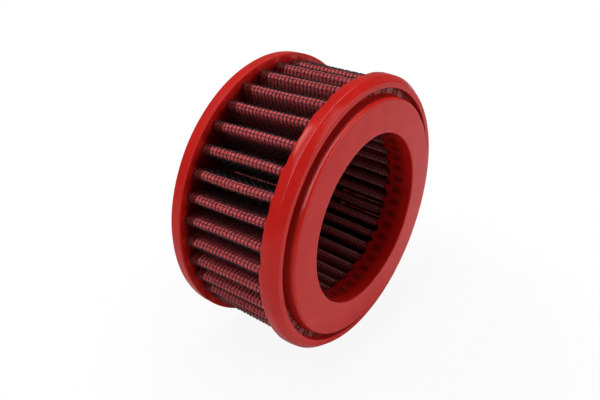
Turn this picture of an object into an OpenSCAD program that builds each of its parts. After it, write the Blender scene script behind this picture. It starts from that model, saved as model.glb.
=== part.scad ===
// Round oiled-gauze air filter element for a motorcycle, lying on its side.
// The axis runs along Y. The origin is the centre of the sealing face, the outlet opens towards -Y,
// and the closed end is at +Y. A strip of six layers is pleated into a ring, its two ends are held
// by a folded clip, and a moulded polyurethane cap is cast round each end of the ring.

/* [Overall] */
// Diameter of the closed rear cap, the widest part
rear_cap_d = 100; // [88:0.5:140]
// Length from the sealing face to the back of the rear cap
total_length = 45; // [36:0.5:80]

/* [Front cap] */
// How far the outer ring stands out past the pleats
ring_overhang = 1.6; // [0.6:0.1:4]
// Radial width of the outer ring, from the groove to its outside
ring_wall = 4.2; // [3.2:0.1:6]
// Axial depth of the outer ring, from its face to its back edge
ring_depth = 5.9; // [4:0.1:8]
// Radius of the rounded front shoulder of the outer ring
ring_round = 2.4; // [0.5:0.1:2.5]
// Radial width of the annular groove between the outer ring and the sealing collar
groove_width = 2.2; // [1:0.1:4]
// Depth of the annular groove below the face of the outer ring
groove_depth = 2.0; // [1:0.1:3]
// How far the collar stands proud of the outer ring
collar_proud = 1.9; // [0.5:0.1:4]
// Radius of the collar's outer edge
collar_round = 1.4; // [0.4:0.1:1.8]
// How far the outlet bore's wall stands in from the inner folds
bore_inset = 0.7; // [0.4:0.1:4]
// Depth of the outlet bore's wall, from the sealing face
bore_depth = 10.6; // [9:0.1:13]
// Radius of the bore's front edge
bore_round = 0.5; // [0.2:0.1:1]

/* [Rear cap] */
// How far the rear cap stands out past the pleats
rear_overhang = 2.1; // [1:0.1:5]
// Thickness of the rim of the rear cap
rear_rim = 4.4; // [3.4:0.1:8]
// Radius of the rim's back corner
rear_round = 0.9; // [0.3:0.1:1.2]
// Thickness of the closing panel
panel_thickness = 2.6; // [1.8:0.1:4]
// Depth of the dished recess in the back of the panel
dish_depth = 0.8; // [0.3:0.1:1.2]
// Diameter of the dished recess
dish_d = 52; // [30:1:54]
// Depth of the annular groove in the back face
back_groove_depth = 1.8; // [1:0.1:2.4]

/* [Pleats] */
// Number of pleats
pleats = 37; // [30:1:46]
// Radial height of a pleat, from its inner fold to its outer tip
pleat_height = 16.5; // [10:0.1:20]
// Angle of the first pleat from +X, before the drifts
first_pleat = 98.2; // [0:0.1:360]
// Drift of the pleats from even spacing that rises and falls once a turn, in degrees
pleat_drift = 3.7; // [0:0.1:4]
// Direction from which that drift rises
drift_angle = 106; // [0:1:360]
// Drift of the pleats that rises and falls twice a turn, in degrees
pleat_sway = 1.3; // [0:0.1:1.5]
// Direction from which that drift rises
sway_angle = 88; // [0:1:180]

/* [Layers] */
// Thickness of each wire mesh, two wires where they cross
mesh_thickness = 0.5; // [0.3:0.05:0.6]
// Thickness of each gauze layer
gauze_thickness = 0.15; // [0.1:0.05:0.2]
// Number of gauze layers
gauze_layers = 4; // [4:1:4]
// Gap between neighbouring layers
layer_gap = 0.03; // [0.02:0.01:0.05]
// Inside radius of the tightest fold
tight_fold = 0.15; // [0.1:0.05:0.3]

/* [Seam] */
// Inner fold at which the strip's two ends meet, counted from the first pleat
seam_fold = 24; // [0:1:36]
// Sheet thickness of the folded clip
clip_sheet = 0.3; // [0.2:0.05:0.4]
// Radial length of the clip's two sides
clip_side = 4.5; // [3:0.1:7]

/* [Hidden] */
// Clearance of a cast cap round what it is cast to
cast_gap = 0.02;
// Straight pieces in one fold, and in one rounded corner
fold_steps = 6;
corner_steps = 5;
$fn = 96;
// Direction in which the caps' turned surfaces start and end, clear of the side that the filter lies on
cap_start = 2;
// Diameters over the outer tips and inside the inner folds of the pleats
tips_d = rear_cap_d - 2 * rear_overhang;
folds_d = tips_d - 2 * pleat_height;
// Diameters of the outer ring, of its inside at the groove, of the sealing collar and of the bore
ring_d = tips_d + 2 * ring_overhang;
ring_inner_d = ring_d - 2 * ring_wall;
collar_d = ring_inner_d - 2 * groove_width;
bore_d = folds_d - 2 * bore_inset;
// Axial stations, from the sealing face
ring_face = collar_proud;
groove_floor = ring_face + groove_depth;
ring_back = ring_face + ring_depth;
rear_rim_face = total_length - rear_rim;
pack_end = total_length - back_groove_depth;
pack_length = pack_end - groove_floor;
panel_face = total_length - dish_depth - panel_thickness;
// Thickness of the whole strip, and the middle radius of every fold
strip = 2 * mesh_thickness + gauze_layers * gauze_thickness + (gauze_layers + 1) * layer_gap;
fold_mid = tight_fold + strip / 2;
// Radii on which the centres of the outer and inner folds lie
tip_centres = tips_d / 2 - fold_mid - strip / 2;
fold_centres = folds_d / 2 + fold_mid + strip / 2;

// Angles of pleat k and of the inner fold that follows it, measured from +X towards -Z
function even_angle(k) = first_pleat + k * 360 / pleats;
function pleat_angle(k) =
    -(even_angle(k) + pleat_drift * sin(even_angle(k) - drift_angle)
      + pleat_sway * sin(2 * (even_angle(k) - sway_angle)));
function inner_angle(k) = (pleat_angle(k) + pleat_angle(k + 1)) / 2;
function polar(r, a) = [r * cos(a), r * sin(a)];
function tip_centre(k) = polar(tip_centres, pleat_angle(k));
function fold_centre(k) = polar(fold_centres, inner_angle(k));
function bearing(v) = atan2(v[1], v[0]);

// Direction square to the straight leg between pleat k and inner fold j, away from the pleat.
// turn is 1 for the leg on the pleat's far side and -1 for the leg on its near side.
function leg_normal(k, j, turn) =
    let (v = fold_centre(j) - tip_centre(k))
    bearing(v) + turn * acos(2 * fold_mid / norm(v));

// Points on an arc from angle a0 to a1
function arc(centre, r, a0, a1, steps) =
    [for (i = [0:steps]) centre + polar(r, a0 + (a1 - a0) * i / steps)];

// Brings angle a to within half a turn of b
function near(a, b) = a - 360 * round((a - b) / 360);

// Outline of the strip at a distance out from its middle surface: one outer and one inner fold a pleat
function outer_fold(k, out) =
    arc(tip_centre(k), fold_mid + out,
        near(leg_normal(k, k - 1, -1), pleat_angle(k)),
        near(leg_normal(k, k, 1), pleat_angle(k)), fold_steps);
function inner_fold(k, out) =
    arc(fold_centre(k), fold_mid - out,
        near(leg_normal(k, k, 1) + 180, inner_angle(k) + 180),
        near(leg_normal(k + 1, k, -1) + 180, inner_angle(k) + 180), fold_steps);
function strip_outline(out) =
    [for (k = [0:pleats - 1]) each concat(outer_fold(k, out), inner_fold(k, out))];

// Points of a rounded corner of a profile, centred on [r, z]
function corner(r, z, radius, a0, a1) = arc([r, z], radius, a0, a1, corner_steps);

// Turns a shape drawn along +Z so that it runs along +Y
module along_axis() {
    rotate([-90, 0, 0]) children();
}

// What the strip's ends give up to the clip at the seam
module seam_cut() {
    rotate(inner_angle(seam_fold))
        translate([fold_centres - 2 * fold_mid, 0])
            square([4 * fold_mid, 4 * fold_mid], center = true);
}

// Region between two distances from the strip's middle surface, open at the seam
module strip_region(inside, outside) {
    difference() {
        polygon(strip_outline(outside));
        polygon(strip_outline(inside));
        seam_cut();
    }
}

// Distance of the inside face of layer n from the strip's middle surface; layer 0 is the inner mesh
function layer_inside(n) =
    n == 0 ? -strip / 2
    : -strip / 2 + mesh_thickness + layer_gap + (n - 1) * (gauze_thickness + layer_gap);

module layer(n, thickness) {
    along_axis()
        translate([0, 0, groove_floor])
            linear_extrude(height = pack_length)
                strip_region(layer_inside(n), layer_inside(n) + thickness);
}

// One side of the clip: it lies along the leg of the strip next to the seam
module clip_leg(k, turn, spread) {
    j = seam_fold;
    square_to_leg = leg_normal(k, j, turn) + 180;
    translate(fold_centre(j))
        rotate(square_to_leg)
            translate([fold_mid + strip / 2 + layer_gap - spread,
                       -(turn > 0 ? clip_side : clip_sheet) - spread])
                square([clip_sheet + 2 * spread, clip_side + clip_sheet + 2 * spread]);
}

// Section of the folded clip: a web across the strip's two ends and a side along each leg
module clip_section(spread = 0) {
    half_width = fold_mid + strip / 2 + layer_gap + clip_sheet;
    clip_leg(seam_fold, 1, spread);
    clip_leg(seam_fold + 1, -1, spread);
    rotate(inner_angle(seam_fold))
        translate([fold_centres - clip_sheet - spread, -half_width - spread])
            square([clip_sheet + 2 * spread, 2 * (half_width + spread)]);
}

// Everything that is cast into the caps. Its ends are flush with the floors of both grooves.
module cast_in() {
    translate([0, 0, groove_floor])
        linear_extrude(height = pack_length) {
            strip_region(-strip / 2 - cast_gap, strip / 2 + cast_gap);
            clip_section(cast_gap);
        }
}

// Half section of the front cap: collar, groove, outer ring and the cast back between the pleats
function front_profile() =
    let (bore_r = bore_d / 2, collar_r = collar_d / 2, groove_r = ring_inner_d / 2, ring_r = ring_d / 2)
    concat(
        [[bore_r, bore_depth]],
        corner(bore_r + bore_round, bore_round, bore_round, 180, 270),
        corner(collar_r - collar_round, collar_round, collar_round, 270, 360),
        [[collar_r, groove_floor], [groove_r, groove_floor]],
        corner(groove_r + 0.2, ring_face + 0.2, 0.2, 180, 270),
        corner(ring_r - ring_round, ring_face + ring_round, ring_round, 270, 360),
        corner(ring_r - 0.5, ring_back - 0.5, 0.5, 0, 90),
        [[tips_d / 2, ring_back - 0.3], [tips_d / 2 - 2, ring_back - 0.7],
         [folds_d / 2 + 5, ring_back - 0.5], [folds_d / 2 + 2.5, bore_depth - 1.4],
         [folds_d / 2 + 1, bore_depth - 0.3]]
    );

// Half section of the rear cap: rim, closing panel with its dish, and the groove in the back face
function rear_profile() =
    let (rim_r = rear_cap_d / 2, groove_in = collar_d / 2, groove_out = ring_inner_d / 2,
         skirt_r = bore_d / 2, back = total_length)
    concat(
        [[0, panel_face], [skirt_r - 2.5, panel_face]],
        corner(skirt_r - 2.5, panel_face - 2, 2, 90, 0),
        [[skirt_r, rear_rim_face - 0.6], [folds_d / 2 + 1, rear_rim_face - 0.4],
         [folds_d / 2 + 3, rear_rim_face + 0.6], [tips_d / 2 - 2, rear_rim_face + 0.6],
         [tips_d / 2, rear_rim_face + 0.4]],
        corner(rim_r - 0.6, rear_rim_face + 0.6, 0.6, 270, 360),
        corner(rim_r - rear_round, back - rear_round, rear_round, 0, 90),
        [[groove_out, back], [groove_out, pack_end], [groove_in, pack_end], [groove_in, back],
         [dish_d / 2 + dish_depth, back], [dish_d / 2, back - dish_depth], [0, back - dish_depth]]
    );

// Moulded sealing ring with the outlet bore
module front_cap() {
    color("#c8201c")
        along_axis()
            difference() {
                rotate(cap_start) rotate_extrude() polygon(front_profile());
                cast_in();
            }
}

// Moulded cap that closes the other end
module rear_cap() {
    color("#c8201c")
        along_axis()
            difference() {
                rotate(cap_start) rotate_extrude() polygon(rear_profile());
                cast_in();
            }
}

// Coated wire mesh on the dirty side of the strip
module outer_mesh() {
    color("#3c3f45") layer(gauze_layers + 1, mesh_thickness);
}

// Oiled cotton gauze, layer n counted from the inside
module gauze(n) {
    color("#b5323a") layer(n, gauze_thickness);
}

// Coated wire mesh on the clean side of the strip
module inner_mesh() {
    color("#33363b") layer(0, mesh_thickness);
}

// Folded sheet clip that holds the strip's two ends together
module seam_clip() {
    color("#b9bcc0")
        along_axis()
            translate([0, 0, groove_floor])
                linear_extrude(height = pack_length) clip_section();
}

front_cap();
rear_cap();
outer_mesh();
gauze(1);  // gauze_1
gauze(2);  // gauze_2
gauze(3);  // gauze_3
gauze(4);  // gauze_4
inner_mesh();
seam_clip();
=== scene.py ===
import math

import bpy
import numpy as np
from mathutils import Matrix, Vector, kdtree


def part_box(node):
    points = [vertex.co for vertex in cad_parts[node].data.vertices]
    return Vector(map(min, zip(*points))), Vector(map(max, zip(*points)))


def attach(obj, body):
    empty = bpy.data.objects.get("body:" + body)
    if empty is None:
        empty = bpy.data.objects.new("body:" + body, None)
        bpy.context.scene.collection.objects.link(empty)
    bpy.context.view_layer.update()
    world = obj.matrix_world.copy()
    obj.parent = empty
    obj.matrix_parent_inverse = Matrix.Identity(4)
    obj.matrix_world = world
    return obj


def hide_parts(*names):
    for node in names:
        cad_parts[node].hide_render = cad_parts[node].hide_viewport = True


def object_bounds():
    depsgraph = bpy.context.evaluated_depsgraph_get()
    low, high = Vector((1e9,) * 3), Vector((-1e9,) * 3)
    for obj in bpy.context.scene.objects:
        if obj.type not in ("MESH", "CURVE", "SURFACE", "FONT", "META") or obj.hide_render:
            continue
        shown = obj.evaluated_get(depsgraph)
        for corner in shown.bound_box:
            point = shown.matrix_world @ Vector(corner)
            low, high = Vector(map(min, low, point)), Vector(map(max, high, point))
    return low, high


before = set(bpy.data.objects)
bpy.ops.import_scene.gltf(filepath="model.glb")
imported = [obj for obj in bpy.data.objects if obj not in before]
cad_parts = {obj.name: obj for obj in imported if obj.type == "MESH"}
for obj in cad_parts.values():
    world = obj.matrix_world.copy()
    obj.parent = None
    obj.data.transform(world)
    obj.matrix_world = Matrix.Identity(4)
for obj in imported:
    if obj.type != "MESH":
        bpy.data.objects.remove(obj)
cad_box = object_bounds()

# ---- Oiled gauze --------------------------------------------------------------------------------
# Four layers of loosely woven cotton, soaked in red oil, lie between two wire meshes. The six make
# one strip, pleated into a ring. The outer and inner gauze swell a little through the wire cells,
# and close to each cap the polyurethane has crept into them. Sizes are in millimetres.
mm = 0.001
pleats = 37
first_pleat, pleat_drift, drift_angle = (math.radians(angle) for angle in (98.2, 3.7, 106))
pleat_sway, sway_angle = math.radians(1.3), math.radians(88)
seam_fold = 24
mesh_thickness, gauze_thickness, layer_gap, tight_fold = 0.5, 0.15, 0.03, 0.15
strip_thickness = 2 * mesh_thickness + 4 * gauze_thickness + 5 * layer_gap
fold_middle = tight_fold + strip_thickness / 2
tip_radius, fold_radius = 47.9, 31.4
tip_centres = tip_radius - tight_fold - strip_thickness
fold_centres = fold_radius + tight_fold + strip_thickness
strip_low, strip_high = (np.array(corner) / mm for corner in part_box("outer_mesh"))
strip_start, strip_end = strip_low[1], strip_high[1]
ring_back, rim_height = 7.8, 4.4
rim_front = np.array(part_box("rear_cap")[1])[1] / mm - rim_height
cell_rows = 27
wire_pitch = (strip_end - strip_start) / cell_rows
pack_middle = 22.5
winding_per_mm = np.radians(0.055)
front_creep, rear_creep, film_share = 0.8, 3.0, 0.5
crest_start, crest_rise, slack_swell = 45.6, 1.4, 0.15


def polar(radius, angle):
    return np.array([radius * math.cos(angle), radius * math.sin(angle)])


def pleat_angle(k):
    """Direction of pleat k from +X towards +Z. Hand work left the pleats a little uneven."""
    even = first_pleat + k * 2 * math.pi / pleats
    sway = pleat_sway * math.sin(2 * (even - sway_angle))
    return even + pleat_drift * math.sin(even - drift_angle) + sway


def fold_angle(k):
    """Direction of the inner fold that follows pleat k."""
    return (pleat_angle(k) + pleat_angle(k + 1)) / 2


def leg_bearing(k, j):
    """Direction square to the leg between pleat k and inner fold j, pointing out of the strip."""
    along = polar(fold_centres, fold_angle(j)) - polar(tip_centres, pleat_angle(k))
    lean = math.acos(2 * fold_middle / np.linalg.norm(along))
    return math.atan2(along[1], along[0]) + (lean if j < k else -lean)


def strip_outline(out, step=0.02):
    """Close points once along the strip from the middle of its seam fold, at a distance out from
    its middle surface, and the outward directions there. Both are given along X and Z."""
    points, normals = [], []

    def arc(centre, radius, start, end, facing):
        sweep = (end - start + math.pi) % (2 * math.pi) - math.pi
        for t in np.linspace(0, 1, max(int(abs(sweep) * radius / step), 12), endpoint=False):
            points.append(centre + polar(radius, start + sweep * t))
            normals.append(polar(facing, start + sweep * t))

    def leg(start, end, bearing):
        for t in np.linspace(0, 1, int(np.linalg.norm(end - start) / step), endpoint=False):
            points.append(start + (end - start) * t)
            normals.append(polar(1, bearing))

    at_tip, at_fold = fold_middle + out, fold_middle - out
    seam = fold_angle(seam_fold) + math.pi
    first, last = seam_fold + 1, seam_fold + pleats
    first_leg = leg_bearing(first, seam_fold) + math.pi
    arc(polar(fold_centres, seam - math.pi), at_fold, seam, first_leg, -1)
    for k in range(first, last + 1):
        tip = polar(tip_centres, pleat_angle(k))
        before, after = (polar(fold_centres, fold_angle(j)) for j in (k - 1, k))
        near, far = leg_bearing(k, k - 1), leg_bearing(k, k)
        leg(before - polar(at_fold, near), tip + polar(at_tip, near), near)
        arc(tip, at_tip, near, far, 1)
        leg(tip + polar(at_tip, far), after - polar(at_fold, far), far)
        next_leg = seam if k == last else leg_bearing(k + 1, k) + math.pi
        arc(after, at_fold, far + math.pi, next_leg, -1)
    return np.array(points), np.array(normals)


def along_strip(out, spacing):
    """Points at an even spacing along the strip at a distance out from its middle, and the
    outward directions there, as arrays of X, 0, Z."""
    points, normals = strip_outline(out)
    travel = np.concatenate([[0], np.cumsum(np.linalg.norm(np.diff(points, axis=0), axis=1))])
    places = np.arange(0, travel[-1], spacing)
    line, facing = (np.stack([np.interp(places, travel, values[:, 0]), np.zeros(len(places)),
                              np.interp(places, travel, values[:, 1])], axis=1)
                    for values in (points, normals))
    return line, facing / np.linalg.norm(facing, axis=1, keepdims=True)


def hand_pleated(points):
    """Lets each pleat lean and bow a little between the caps, and winds the pack one way."""
    x, y, z = points[..., 0], points[..., 1], points[..., 2]
    free = np.sin(np.pi * np.clip((y - ring_back) / (rim_front - ring_back), 0, 1))
    turn = np.arctan2(z, x)
    swing = free * np.radians(0.28 * np.sin(7 * turn + 1.3) + 0.22 * np.sin(11 * turn + 4.0))
    swing = swing + winding_per_mm * (y - pack_middle)
    bow = 1 + free * 0.0014 * (np.sin(9 * turn + 0.7) - 1)
    return np.stack([(x * np.cos(swing) - z * np.sin(swing)) * bow, y,
                     (x * np.sin(swing) + z * np.cos(swing)) * bow], axis=-1)


def new_mesh(name, points, *faces):
    """A smooth closed mesh from points in millimetres and arrays of faces of three or four corners,
    turned so that its faces look outwards."""
    points = np.asarray(points, dtype=float).reshape(-1, 3)
    volume = 0
    for group in faces:
        first = points[group[:, 0]]
        for i in range(1, group.shape[1] - 1):
            volume += (first * np.cross(points[group[:, i]], points[group[:, i + 1]])).sum()
    if volume < 0:
        faces = [group[:, ::-1] for group in faces]
    sizes = np.concatenate([np.full(len(group), group.shape[1]) for group in faces])
    corners = np.concatenate([group.ravel() for group in faces])
    mesh = bpy.data.meshes.new(name)
    mesh.vertices.add(len(points))
    mesh.vertices.foreach_set("co", (points * mm).astype(np.float32).ravel())
    mesh.loops.add(len(corners))
    mesh.loops.foreach_set("vertex_index", corners.astype(np.int32))
    mesh.polygons.add(len(sizes))
    starts = np.concatenate([[0], np.cumsum(sizes)[:-1]]).astype(np.int32)
    mesh.polygons.foreach_set("loop_start", starts)
    mesh.polygons.foreach_set("use_smooth", np.ones(len(sizes), dtype=bool))
    mesh.update(calc_edges=True)
    mesh.validate()
    piece = bpy.data.objects.new(name, mesh)
    bpy.context.scene.collection.objects.link(piece)
    return piece


def grid_faces(index):
    """The quads of a grid of vertex numbers."""
    corners = [index[:-1, :-1], index[1:, :-1], index[1:, 1:], index[:-1, 1:]]
    return np.stack(corners, -1).reshape(-1, 4)


def gauze_layer(face, facing, swell, rows):
    """A closed sheet of gauze. Its face lies at a distance from the strip's middle and swells in
    the middle of every wire cell, most on the crests of the pleats, which it is stretched over."""
    front, normal = along_strip(face, wire_pitch / 2)
    heights = np.linspace(strip_start, strip_end, rows)
    in_cell = np.outer(np.arange(len(front)) % 2, np.arange(rows) % 2)
    y = np.outer(heights, [0, 1, 0])
    cap_side = np.minimum(heights - ring_back, rim_front - heights)
    creep = np.clip(1 - cap_side / np.where(heights < pack_middle, front_creep, rear_creep), 0, 1)
    radius = np.hypot(front[:, 0], front[:, 2])
    taut = np.clip((radius - crest_start) / crest_rise, slack_swell, 1) if facing > 0 else 1
    lift = facing * swell * (in_cell * np.reshape(taut, (-1, 1)) + film_share * creep[None, :])
    back = front - facing * gauze_thickness * normal
    sheet = front[:, None] + y[None] + lift[:, :, None] * normal[:, None]
    rear = back[:, None] + y[None, [0, -1]]
    ahead = np.arange(len(front) * rows).reshape(len(front), rows)
    behind = ahead.size + np.arange(len(front) * 2).reshape(len(front), 2)
    rim = [np.stack([ahead[:, 0], behind[:, 0]], 1), np.stack([behind[:, 1], ahead[:, -1]], 1)]
    ends = [np.concatenate([ahead[i], behind[i, ::-1]])[::turn] for i, turn in ((0, 1), (-1, -1))]
    points = np.concatenate([sheet.reshape(-1, 3), rear.reshape(-1, 3)])
    faces = [grid_faces(ahead), grid_faces(behind[:, ::-1]), grid_faces(rim[0][:, ::-1]),
             grid_faces(rim[1][:, ::-1])]
    return points, faces, ends


class Shade:
    """A value or colour that varies over a surface. Arithmetic on it adds Math nodes."""

    def __init__(self, tree, socket=None):
        self.tree, self.socket = tree, socket

    def node(self, kind, settings=(), sockets=(), output=0):
        """Adds a node with its settings, and the values or links of its sockets."""
        made = self.tree.nodes.new(kind)
        for name, value in dict(settings).items():
            setattr(made, name, value)
        for name, value in dict(sockets).items():
            if isinstance(value, Shade):
                self.tree.links.new(value.socket, made.inputs[name])
            else:
                made.inputs[name].default_value = value
        return Shade(self.tree, made.outputs[output] if made.outputs else None)

    def math(self, operation, *values):
        return self.node("ShaderNodeMath", {"operation": operation}, enumerate(values))

    def __add__(self, other):
        return self.math("ADD", self, other)

    def __mul__(self, other):
        return self.math("MULTIPLY", self, other)

    def __sub__(self, other):
        return self.math("SUBTRACT", self, other)

    def __rsub__(self, other):
        return self.math("SUBTRACT", other, self)

    __radd__, __rmul__ = __add__, __mul__

    def between(self, low, high):
        """0 below low, 1 above high and smooth between them."""
        return self.node("ShaderNodeMapRange", {"interpolation_type": "SMOOTHSTEP"},
                         {"Value": self, "From Min": low, "From Max": high})

    def mix(self, first, second):
        """A colour from first, where this is 0, to second, where it is 1."""
        return self.node("ShaderNodeMix", {"data_type": "RGBA"}, {0: self, 6: first, 7: second}, 2)

    def noise(self, size, detail=2.0):
        """Cloudy noise over this place, with lumps of about a size in millimetres."""
        return self.node("ShaderNodeTexNoise", {},
                         {"Vector": self, "Scale": 1 / size, "Detail": detail})

    def specks(self, spacing, radius):
        """1 inside small round specks about a spacing apart, and 0 elsewhere."""
        distance = self.node("ShaderNodeTexVoronoi", {}, {"Vector": self, "Scale": 1 / spacing})
        return 1 - distance.between(0.6 * radius / spacing, radius / spacing)


def new_finish(name, colour, roughness, bump_height, bump_depth, **fixed):
    """A material on the Principled shader. colour, roughness and bump_height take the place on
    the surface in millimetres. fixed sets the sockets that are the same all over."""
    material = bpy.data.materials.new(name)
    material.use_nodes = True
    tree = material.node_tree
    shader = tree.nodes["Principled BSDF"]
    place = Shade(tree).node("ShaderNodeTexCoord", output=3)
    place = place.node("ShaderNodeVectorMath", {"operation": "SCALE"}, {0: place, "Scale": 1 / mm})
    bump = place.node("ShaderNodeBump", {}, {
        "Height": bump_height(place), "Distance": bump_depth * mm, "Strength": 1.0})
    varying = {"Base Color": colour(place), "Roughness": roughness(place), "Normal": bump}
    for socket, value in varying.items():
        tree.links.new(value.socket, shader.inputs[socket])
    for socket, value in fixed.items():
        shader.inputs[socket.replace("_", " ")].default_value = value
    return material


def soaked(place):
    """1 where cast polyurethane has crept into the strip beside a cap, and 0 on the free strip."""
    y = place.node("ShaderNodeSeparateXYZ", {}, {0: place}, 1)
    ragged = (place.noise(2.2) - 0.5) * 2.6
    front = 1 - (y + ragged).between(ring_back + 0.7, ring_back + 1.3)
    return front + (y - ragged).between(rim_front - 3.8, rim_front - 3.0)


def from_axis(place):
    """The arm from the axis, which is Y, square out to a place."""
    return place.node("ShaderNodeVectorMath", {"operation": "MULTIPLY"}, {0: place, 1: (1, 0, 1)})


def depth(place):
    """How far a place is down the legs of the pleats, and how far it is on their inner folds."""
    arm = from_axis(place)
    radius = arm.node("ShaderNodeVectorMath", {"operation": "LENGTH"}, {0: arm}, 1)
    legs = radius.between(34.0, 37.0) - radius.between(42.5, 47.4)
    return legs, 1 - radius.between(32.6, 34.0)


def faces_out(place):
    """Rises to 1 where a surface faces away from the axis, as the outside of a fold does."""
    normal = place.node("ShaderNodeNewGeometry", output=1)
    arm = from_axis(place)
    way = arm.node("ShaderNodeVectorMath", {"operation": "NORMALIZE"}, {0: arm})
    facing = normal.node("ShaderNodeVectorMath", {"operation": "DOT_PRODUCT"},
                         {0: normal, 1: way}, 1)
    return facing.between(0.1, 0.6)


def gauze_colour(place):
    oil = place.noise(3.0).between(0.35, 0.65).mix((0.80, 0.080, 0.090, 1), (0.88, 0.115, 0.128, 1))
    thread = place.noise(0.35).between(0.50, 0.70).mix(oil, (0.90, 0.22, 0.24, 1))
    legs, bore_side = depth(place)
    # Down the legs of the pleats the gauze darkens to near black: painted shade of the valleys.
    deep = (legs * 0.82).mix(thread, (0.11, 0.008, 0.008, 1))
    # On the inner folds the gauze turns a duller brown: painted shade of the bore, with a grey cast
    # standing in for the wires' glints.
    deep = (bore_side * 0.85).mix(deep, (0.38, 0.145, 0.145, 1))
    # Where an inner fold's bottom faces out into a valley it turns pale pink: a painted pool of
    # light falling into the valleys.
    deep = (bore_side * faces_out(place)).mix(deep, (0.97, 0.24, 0.24, 1))
    return soaked(place).mix(deep, (0.20, 0.007, 0.006, 1))


gauze_finish = new_finish(
    "oiled gauze", gauze_colour, lambda place: 0.6 - soaked(place) * 0.35 + place.noise(0.8) * 0.1,
    lambda place: place.noise(0.22, 3), 0.06, Specular_IOR_Level=0.25)

gauze_face = strip_thickness / 2 - mesh_thickness - layer_gap
layer_step = gauze_thickness + layer_gap
for name, face, facing, swell, rows in (
        ("gauze_4", gauze_face, 1, 0.15, 2 * cell_rows + 1),
        ("gauze_3", gauze_face - layer_step, 1, 0, 15),
        ("gauze_2", layer_step - gauze_face, -1, 0, 15),
        ("gauze_1", -gauze_face, -1, 0.18, 2 * cell_rows + 1)):
    points, faces, ends = gauze_layer(face, facing, swell, rows)
    sheet = new_mesh(name + "_cloth", hand_pleated(points), *faces, *[end[None] for end in ends])
    sheet.data.materials.append(gauze_finish)
    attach(sheet, "root")
    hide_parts(name)
    cut_length = np.linalg.norm(np.diff(strip_outline(face)[0], axis=0), axis=1).sum()

# ---- Wire meshes --------------------------------------------------------------------------------
# Plain-woven wire with a baked epoxy coat, one sheet on each side of the gauze. Long wires run
# along the axis from groove to groove, and cross wires follow the pleats, over one and under one.
long_radius, cross_radius = 0.10, 0.14
wire_sides = 4


def wires(path, normal, wire_radius):
    """Points and faces of round wires along paths, given the mesh's outward direction all along."""
    count, steps = path.shape[:2]
    across = np.cross(np.gradient(path, axis=1), normal)
    across /= np.linalg.norm(across, axis=2, keepdims=True)
    turns = np.arange(wire_sides) * 2 * np.pi / wire_sides
    rings = [path + wire_radius * (math.cos(t) * normal + math.sin(t) * across) for t in turns]
    index = np.arange(count * steps * wire_sides).reshape(count, steps, wire_sides)
    after = np.roll(index, -1, axis=2)
    sides = np.stack([index[:, :-1], after[:, :-1], after[:, 1:], index[:, 1:]], -1).reshape(-1, 4)
    ends = np.concatenate([index[:, 0, ::-1], index[:, -1]])
    return np.stack(rings, axis=2), sides, ends


def wire_colour(place):
    coat = place.noise(1.5).mix((0.010, 0.011, 0.013, 1), (0.024, 0.025, 0.029, 1))
    return (soaked(place) * 0.35).mix(coat, (0.14, 0.010, 0.010, 1))


wire_finish = new_finish(
    "epoxy-coated wire", wire_colour, lambda place: 0.20 + place.noise(0.9) * 0.2,
    lambda place: place.noise(0.3), 0.01)

heights = np.linspace(strip_start, strip_end, 2 * cell_rows + 1)
free_rows = range(math.ceil((ring_back - 2 - strip_start) / wire_pitch), cell_rows)
for side, facing in (("outer", 1), ("inner", -1)):
    line, normal = along_strip(facing * (strip_thickness - mesh_thickness) / 2, wire_pitch / 2)
    wave = np.cos(np.pi * np.arange(max(len(line), len(heights))) / 2)[:, None]
    long_wave, cross_wave = (wave * (mesh_thickness / 2 - radius)
                             for radius in (long_radius, cross_radius))
    up = np.outer(heights, [0, 1, 0])
    long_paths = np.stack([
        line[i] + up - normal[i] * long_wave[:len(heights)] * (1 - i % 4)
        for i in range(0, len(line), 2)])
    cross_paths = np.stack([
        line + up[2 * row] + normal * cross_wave[:len(line)] * (1 - 2 * (row % 2))
        for row in free_rows])
    long_normals = np.broadcast_to(normal[::2, None], long_paths.shape)
    cross_normals = np.broadcast_to(normal[None], cross_paths.shape)
    for way, paths, normals, radius, parts in (
            ("long", long_paths, long_normals, long_radius, 3),
            ("cross", cross_paths, cross_normals, cross_radius, 2)):
        for part, chosen in enumerate(np.array_split(np.arange(len(paths)), parts)):
            points, sides, ends = wires(paths[chosen], normals[chosen], radius)
            bundle = new_mesh(f"{side}_{way}_wires_{part + 1}", hand_pleated(points), sides, ends)
            bundle.data.materials.append(wire_finish)
            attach(bundle, "root")
            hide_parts(side + "_mesh")

# ---- Front cap ----------------------------------------------------------------------------------
# One casting of soft red polyurethane. Its proud collar seals round the outlet bore, and a groove
# parts it from the outer ring. While liquid it crept up the folds of the strip, so its back edges
# are wavy. The groove's floor shows the ends of the strip, which stood on the mould.
cap_columns = pleats * 20
ring_radius, ring_face, ring_inside, ring_crown = 49.5, 1.9, 45.3, 16
collar_radius, collar_top, collar_round = 43.1, 42.5, 0.9
bore_radius, bore_round, groove_round = 30.7, 0.5, 0.15
creep_height, creep_reach, rear_creep_share, creep_lumps = 1.2, 0.7, 0.35, 0.10
surface_waver = 0.05

strip_sides = np.concatenate([strip_outline(out, 0.1)[0] for out in (-0.9, 0.9)])
creep_tree = kdtree.KDTree(len(strip_sides))
for number, spot in enumerate(strip_sides):
    creep_tree.insert((spot[0], 0, spot[1]), number)
creep_tree.balance()


def corner(r, y, radius, start, end, steps=8, creep=0.0):
    """A rounded corner of a half section. Angles go from outwards, at 0, to rearwards, at 90."""
    turns = np.radians(np.linspace(start, end, steps))
    return [(r + radius * math.cos(a), y + radius * math.sin(a), creep) for a in turns]


def run(r0, y0, r1, y1, steps=1, creep=0.0):
    """A straight stretch of a half section, without its last point."""
    return [(r0 + (r1 - r0) * i / steps, y0 + (y1 - y0) * i / steps, creep) for i in range(steps)]


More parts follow.
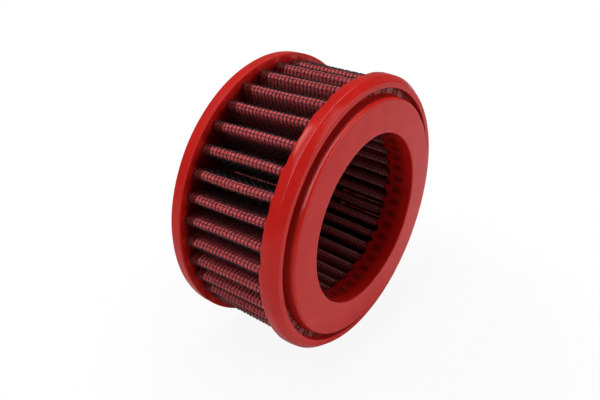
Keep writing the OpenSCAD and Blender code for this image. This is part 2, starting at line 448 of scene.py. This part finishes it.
def turned(name, profile, rearwards, centres=()):
    """A cast body turned from a half section of radius, Y and creep, which is the share of the
    full climb up the folds there. centres are the heights at which its two ends are closed."""
    turn = np.arange(cap_columns) * 2 * np.pi / cap_columns
    ragged = sum(np.sin(count * turn + 1.7 * count) for count in (17, 29, 41, 64))
    rise = creep_height if rearwards > 0 else creep_height * rear_creep_share
    points = []
    for radius, y, creep in profile:
        waver = surface_waver * (np.sin(5 * turn + 0.4 * y) + np.sin(13 * turn + 1.1 * y + 2)) / 2
        reach = radius + waver - surface_waver
        ring = np.stack([reach * np.cos(turn), np.full(cap_columns, y), reach * np.sin(turn)], 1)
        if creep:
            for spot, lumps in zip(ring, ragged):
                unwound = hand_pleated(spot * (1, 1, -1)) * (1, 1, -1)
                distance = creep_tree.find((unwound[0], 0, unwound[2]))[2]
                climb = rise * math.exp(-distance / creep_reach) + creep_lumps * lumps
                spot[1] += rearwards * creep * climb
        points.append(ring)
    index = np.arange(len(profile) * cap_columns).reshape(len(profile), cap_columns)
    if not centres:
        index = np.concatenate([index, index[:1]])
    faces = [grid_faces(np.concatenate([index, index[:, :1]], axis=1))]
    for number, (row, y) in enumerate(zip((0, -1), centres)):
        points.append(np.array([[0, y, 0]]))
        hub = np.full(cap_columns, len(profile) * cap_columns + number)
        fan = np.stack([hub, index[row], np.roll(index[row], -1)], axis=1)
        faces.append(fan if row == 0 else fan[:, ::-1])
    return new_mesh(name, np.concatenate(points), *faces)


def around(place):
    """A place's X, Y and Z, and its distance from the axis."""
    x, y, z = (place.node("ShaderNodeSeparateXYZ", {}, {0: place}, axis) for axis in range(3))
    return x, y, z, x.math("SQRT", x * x + z * z)


def fold_bars(x, z):
    """Rises to 1 in line with every inner fold, by the same formula as pleat_angle."""
    turn = x.math("ARCTAN2", z, x)
    drift = (turn - drift_angle).math("SINE", turn - drift_angle) * pleat_drift
    sway = turn.math("SINE", (turn - sway_angle) * 2) * pleat_sway
    bars = turn.math("COSINE", (turn - drift - sway - first_pleat) * pleats)
    return (0.5 - bars * 0.5).between(0.3, 0.9)


def strip_marks_and_painted_shade(place):
    """How far the polyurethane is darkened: painted shade deep in the bore, the strip showing
    through as bars over the inner folds and on the floor of the groove, a parting line, and painted
    shadow between the pleats at the rear cap."""
    x, y, z, radius = around(place)
    folds = fold_bars(x, z) * y.between(3.6, 5.0) * (1 - y.between(7.6, 8.8)) * 0.3
    parting = y.between(9.2, 9.3) * (1 - y.between(9.4, 9.5))
    parting = parting * place.noise(0.5).between(0.4, 0.6) * 0.3
    # The bore's wall darkens from just inside its mouth: painted shade, with the inner folds
    # showing through as bars.
    wall = (1 - radius.between(30.9, 31.2)) * (y.between(0.8, 6.4) * 0.6 + folds + parting)
    wall = wall * (1 - y.between(11.0, 12.0))
    floor = radius.between(43.2, 43.5) * (1 - radius.between(44.9, 45.2))
    floor = floor * y.between(3.0, 3.8) * (1 - y.between(4.2, 4.6)) * 0.6
    # Between the pleats on the rear cap's face the polyurethane darkens: painted shadow.
    roots = (1 - (radius + place.noise(2.0)).between(45.5, 48.6)) * radius.between(32.0, 34.0)
    roots = roots * y.between(rim_front - 2.0, rim_front - 1.0) * (1 - y.between(42.0, 42.2))
    return wall + floor + roots * 0.85


def in_groove(place):
    """Rises to 1 down the walls of the groove, which keep the matte face of the mould's ring and
    whose colour it darkens as painted shade.
    """
    _, y, _, radius = around(place)
    walls = radius.between(42.2, 42.4) * (1 - radius.between(43.15, 43.3))
    walls = walls + radius.between(45.05, 45.15) * (1 - radius.between(45.35, 45.5))
    return walls * y.between(0.7, 2.2) * (1 - y.between(5.0, 6.0))


def at_rear(place):
    """1 on the rear cap, whose mould is rougher, and more on its rim's trimmed front edge."""
    _, y, _, radius = around(place)
    edge = radius.between(49.0, 49.3) * y.between(rim_front - 0.4, rim_front - 0.2)
    return y.between(30.0, 34.0) + edge * (1 - y.between(rim_front + 0.6, rim_front + 0.9)) * 2.0


def cast_colour(place):
    red = place.noise(9.0, 3).between(0.3, 0.7).mix((0.66, 0.011, 0.007, 1),
                                                    (0.73, 0.016, 0.011, 1))
    red = (place.specks(9.0, 0.16) * 0.8).mix(red, (0.20, 0.004, 0.003, 1))
    red = (place.noise(1.0).between(0.62, 0.75) * 0.10).mix(red, (0.72, 0.16, 0.14, 1))
    # The groove's walls darken: painted shade in the groove.
    red = (in_groove(place) * 0.5).mix(red, (0.22, 0.003, 0.002, 1))
    # Darker where the strip shows through, and painted shade in the bore and between the pleats at
    # the rear cap.
    return strip_marks_and_painted_shade(place).mix(red, (0.13, 0.006, 0.005, 1))


def cast_roughness(place):
    return (0.10 + place.noise(3.0, 3) * 0.14 + in_groove(place) * 0.35
            + at_rear(place) * 0.14)


def cast_grain(place):
    pits = place.specks(9.0, 0.16) * 2.0
    return place.noise(0.45, 3) - pits - place.specks(6.1, 0.12)


cast_finish = new_finish("cast polyurethane", cast_colour, cast_roughness, cast_grain, 0.018,
                         Specular_IOR_Level=0.3)

front_profile = (
    corner(bore_radius + bore_round, bore_round, bore_round, 180, 270)
    + run(bore_radius + 2, 0, collar_top - collar_round - 0.5, 0, 6)
    + corner(collar_top - collar_round, collar_round, collar_round, 270, 352, 12)
    + corner(collar_radius + groove_round, strip_start, groove_round, 180, 90, 4)
    + corner(ring_inside - groove_round, strip_start, groove_round, 90, 0, 4)
    + corner(ring_inside + 0.25, ring_face + 0.25, 0.25, 180, 270, 5)
    + run(46.0, ring_face, 46.7, ring_face, 2)
    + corner(ring_radius - 2.44, ring_face + 0.7, 0.7, 272, 318, 7)
    + corner(ring_radius - 1.22, ring_face + 2.49, 1.0, 318, 350, 8)
    + corner(ring_radius - ring_crown, 7.0, ring_crown, -9, 0, 8)
    + corner(ring_radius - 0.6, ring_back - 0.75, 0.6, 5, 90, 7, creep=0.8)
    + run(48.7, ring_back - 0.2, 45.5, 7.2, 9, creep=1.0)
    + run(45.5, 7.2, 36.5, 7.4, 20, creep=1.0)
    + run(36.5, 7.4, 33.8, 8.6, 7, creep=1.0)
    + run(33.8, 8.6, 31.2, 9.7, 8, creep=1.4)
    + corner(bore_radius + 0.35, 9.45, 0.3, 90, 180, 5, creep=2.2)
    + run(bore_radius + 0.05, 9.3, bore_radius + 0.05, 8.9, 1, creep=1.0)
    + run(bore_radius, 8.7, bore_radius, bore_round + 0.2, 6))
front = turned("front_cap_casting", front_profile, 1)
front.data.materials.append(cast_finish)
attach(front, "root")
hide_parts("front_cap")

# ---- Rear cap -----------------------------------------------------------------------------------
# The same polyurethane closes the other end: a thin panel with a dished back, a rim that overhangs
# the pleats, and the groove left by the mould's ring, which held the strip.
back = np.array(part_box("rear_cap")[1])[1] / mm
rim_radius, rim_round, hub_radius = 49.98, 0.9, 0.4
panel_thickness, dish_radius, dish_depth = 3.4, 26.0, 0.8
panel_face = back - panel_thickness
rear_profile = (
    run(hub_radius, panel_face, 28.2, panel_face, 14)
    + corner(28.7, panel_face - 0.5, 0.5, 90, 0, 4)
    + run(29.2, rim_front + 0.1, bore_radius, rim_front - 0.3, 3, creep=0.5)
    + run(bore_radius, rim_front - 0.3, 32.6, rim_front - 0.2, 6, creep=1.0)
    + run(32.6, rim_front - 0.2, 34.6, rim_front + 0.7, 6, creep=1.0)
    + run(34.6, rim_front + 0.7, 46.0, rim_front + 0.7, 25, creep=1.0)
    + run(46.0, rim_front + 0.7, 48.9, rim_front + 0.1, 8, creep=1.0)
    + corner(rim_radius - 0.35, rim_front + 0.4, 0.35, 275, 360, 8)
    + run(rim_radius, rim_front + 1.2, rim_radius, back - 1.2, 3)
    + corner(rim_radius - rim_round, back - rim_round, rim_round, 0, 90)
    + run(48.6, back, 45.8, back, 2)
    + corner(ring_inside + 0.2, back - 0.2, 0.2, 90, 180, 4)
    + corner(ring_inside - groove_round, strip_end, groove_round, 0, -90, 4)
    + corner(collar_radius + groove_round, strip_end, groove_round, 270, 180, 4)
    + corner(collar_radius - 0.3, back - 0.3, 0.3, 0, 90, 4)
    + run(42.0, back, dish_radius + 1.4, back, 6)
    + corner(dish_radius + 0.8, back - 0.3, 0.3, 90, 135, 3)
    + corner(dish_radius, back - 0.6, 0.2, 315, 270, 3)
    + run(24.0, back - dish_depth, hub_radius, back - dish_depth, 8))
rear = turned("rear_cap_casting", rear_profile, -1, centres=(panel_face, back - dish_depth))
rear.data.materials.append(cast_finish)
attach(rear, "root")
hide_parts("rear_cap")

# ---- Seam ---------------------------------------------------------------------------------------
# The strip's two ends meet at one inner fold. A thin bead of the same polyurethane is run down the
# opening on each side of that fold, on the clean side, and ends in a small blob.
bead_start, bead_end, blob_height, bead_taper = 8.4, 31.0, 29.9, 0.8
bead_reach, bead_rings, bead_sides = 33.0, 90, 10
bead_depth, bead_width = 0.28, 0.62


def bead_colour(place):
    return place.noise(3.5).between(0.4, 0.6).mix((0.24, 0.012, 0.010, 1), (0.50, 0.15, 0.14, 1))


bead_finish = new_finish("seam sealant", bead_colour, lambda place: 0.25 + place.noise(0.8) * 0.2,
                         lambda place: place.noise(0.4), 0.02)
heights = np.linspace(bead_start, bead_end, bead_rings)
for number, k in enumerate((seam_fold, seam_fold + 1)):
    spread = 0.45 + 0.10 * np.sin(1.1 * heights + 2 * number)
    spread = spread + 0.08 * np.sin(2.7 * heights + number)
    spread = spread + 0.5 * np.exp(-((heights - blob_height) / bead_taper) ** 2)
    spread *= np.sqrt(np.clip((bead_end - heights) / bead_taper, 0.02, 1))
    reach = bead_reach + 0.10 * np.sin(0.8 * heights + 3 * number)
    out, across = (np.insert(polar(1, pleat_angle(k) + turn), 1, 0) for turn in (0, math.pi / 2))
    middle = reach[:, None] * out + np.outer(heights, [0, 1, 0])
    turn = np.linspace(0, 2 * np.pi, bead_sides, endpoint=False)[:, None]
    outline = bead_depth * np.cos(turn) * out + bead_width * np.sin(turn) * across
    index = np.arange(bead_rings * bead_sides).reshape(bead_rings, bead_sides)
    bead = new_mesh(f"seam_bead_{number + 1}",
                    hand_pleated(middle[:, None] + spread[:, None, None] * outline),
                    grid_faces(np.concatenate([index, index[:, :1]], axis=1)),
                    index[:1, ::-1], index[-1:])
    bead.data.materials.append(bead_finish)
    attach(bead, "root")
    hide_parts("seam_clip")

# ---- Floor, light and camera --------------------------------------------------------------------
# The filter stands on the rims of its caps on a white floor in a white room. A long strip lamp
# hangs over it, a small softbox lights it from above the rear, and a large one stands in front on
# the right. The camera looks at the outlet and the left side from above.
scene = bpy.context.scene
scene.view_settings.view_transform = "Standard"
aim = Vector((-11.2, 21.6, 5.4)) * mm


def towards(x, y, z):
    return Vector((x, y, z)).normalized()


def stand(holder, way, distance):
    """Puts a lamp or a camera at a distance from the filter, looking at it."""
    holder.location = aim + way * distance * mm
    holder.rotation_euler = way.to_track_quat("Z", "Y").to_euler()
    scene.collection.objects.link(holder)
    return holder


def seen_or_lit(tree_owner, lit_kind, lit_sockets, output_kind, seen_share):
    """A white surface: part of what the camera sees of it is plain white, and the rest is lit."""
    tree = tree_owner.node_tree
    tree.nodes.clear()
    start = Shade(tree)
    seen = start.node("ShaderNodeLightPath") * seen_share(start)
    lit = start.node(lit_kind, {}, lit_sockets)
    plain_kind = "ShaderNodeEmission" if output_kind == "ShaderNodeOutputMaterial" else lit_kind
    plain = start.node(plain_kind, {}, {"Color": (1, 1, 1, 1), "Strength": 1.0})
    mixed = start.node("ShaderNodeMixShader", {}, {0: seen, 1: lit, 2: plain})
    start.node(output_kind, {}, {"Surface": mixed})


def near_filter(start):
    """The floor's plain share: it lets the shadow show beside the filter, and is all white
    further out."""
    place = start.node("ShaderNodeTexCoord", output=3)
    distance = start.node("ShaderNodeVectorMath", {"operation": "LENGTH"}, {0: place}, 1)
    return distance.between(0.05, 0.12) * 0.09 + 0.91


world = bpy.data.worlds.new("white room")
world.use_nodes = True
scene.world = world
seen_or_lit(world, "ShaderNodeBackground", {"Color": (1, 1, 1, 1), "Strength": 0.16},
            "ShaderNodeOutputWorld", lambda start: 1.0)

paint = bpy.data.materials.new("white floor")
paint.use_nodes = True
seen_or_lit(paint, "ShaderNodeBsdfDiffuse", {"Color": (0.80, 0.80, 0.80, 1)},
            "ShaderNodeOutputMaterial", near_filter)
bpy.ops.mesh.primitive_plane_add(size=6, location=(0, 0, cad_box[0][2]))
floor = bpy.context.object
floor.name = "floor"
floor.data.materials.append(paint)

for name, way, distance, width, height, level in (
        ("overhead strip", towards(-0.25, 0.10, 0.96), 800, 2000, 150, 0.86),
        ("key softbox", towards(-0.26, 0.42, 0.87), 700, 260, 95, 0.10),
        ("front softbox", towards(0.45, -0.87, 0.20), 900, 1400, 600, 0.56)):
    lamp = bpy.data.lights.new(name, "AREA")
    lamp.shape = "RECTANGLE"
    lamp.size, lamp.size_y = width * mm, height * mm
    lamp.energy = level * (math.pi * distance * mm) ** 2
    holder = stand(bpy.data.objects.new(name, lamp), way, distance)
    long_side = Vector((way.z, 0, -way.x)).normalized()
    holder.rotation_euler = Matrix((long_side, way.cross(long_side), way)).transposed().to_euler()

view = bpy.data.cameras.new("camera")
view.lens, view.sensor_width, view.clip_start = 36.17, 36.0, 0.01
camera = bpy.data.objects.new("camera", view)
stand(camera, towards(-0.6904, -0.5279, 0.4946), 209.15)
scene.camera = camera
